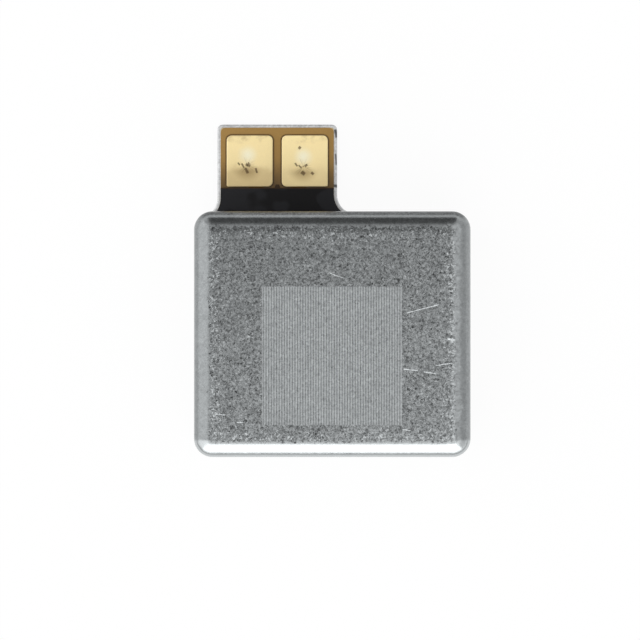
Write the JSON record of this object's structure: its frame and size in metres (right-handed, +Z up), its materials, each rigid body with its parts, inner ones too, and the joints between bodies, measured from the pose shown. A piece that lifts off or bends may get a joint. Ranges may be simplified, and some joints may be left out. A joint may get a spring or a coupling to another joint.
{
  "type": "linear vibration motor",
  "caption": "Flat rectangular linear vibration motor: sealed drawn steel can with a sprung sliding mass and coil inside, and a side tab with gold contact pads.",
  "frame": {"origin": "centre of the can's underside, in the plane of the base plate's lower face", "axes": "+X the way the mass travels, +Y out of the can towards the contact tab, +Z up through the lid"},
  "size_m": [0.009, 0.011, 0.0032],
  "materials": {
    "can_steel": "satin drawn stainless steel, fine speckle, laser-frosted square",
    "base_steel": "satin stamped steel",
    "adhesive": "cured bonding film",
    "polyimide": "amber flex film, gloss",
    "black_film": "black coverlay, satin",
    "copper_foil": "etched copper foil",
    "gold_plate": "gold plating over copper, satin",
    "enamelled_wire": "self-bonding enamelled copper wire",
    "solder": "bright tin solder",
    "tungsten_alloy": "sintered tungsten alloy, matt grey",
    "pole_steel": "nickel-plated soft iron",
    "nickel_plate": "nickel plating over sintered magnet",
    "spring_steel": "cold-rolled spring steel, bright",
    "weld_steel": "satin steel with laser weld spots",
    "stop_rubber": "black rubber",
    "damping_foam": "dark open-cell foam"
  },
  "bodies": {
    "stator": {"cover": "can_steel", "base_plate": "base_steel", "flex_bond_film": "adhesive", "flex_base_film": "polyimide", "flex_coverlay": "black_film", "flex_conductor_left": "copper_foil", "flex_conductor_right": "copper_foil", "contact_pad_left": "gold_plate", "contact_pad_right": "gold_plate", "coil_bond_film": "adhesive", "coil": "enamelled_wire", "coil_lead_left": "enamelled_wire", "coil_lead_right": "enamelled_wire", "solder_joint_left": "solder", "solder_joint_right": "solder", "spring_left": "spring_steel", "spring_right": "spring_steel", "outer_weld_plate_left": "weld_steel", "outer_weld_plate_right": "weld_steel", "bumper_left": "stop_rubber", "bumper_right": "stop_rubber"},
    "mover": {"weight": "tungsten_alloy", "pole_plate": "pole_steel", "magnet_left": "nickel_plate", "magnet_centre": "nickel_plate", "magnet_right": "nickel_plate", "inner_weld_plate_left": "weld_steel", "inner_weld_plate_right": "weld_steel", "damper_foam_left": "damping_foam", "damper_foam_right": "damping_foam"}
  },
  "joints": [
    {"name": "mass_slide", "type": "slide", "parent": "stator", "child": "mover", "axis": [1, 0, 0], "range_m": [-0.0004, 0.0004], "stiffness_N_per_m": 1200, "deforming": ["spring_left", "spring_right"]}
  ]
}
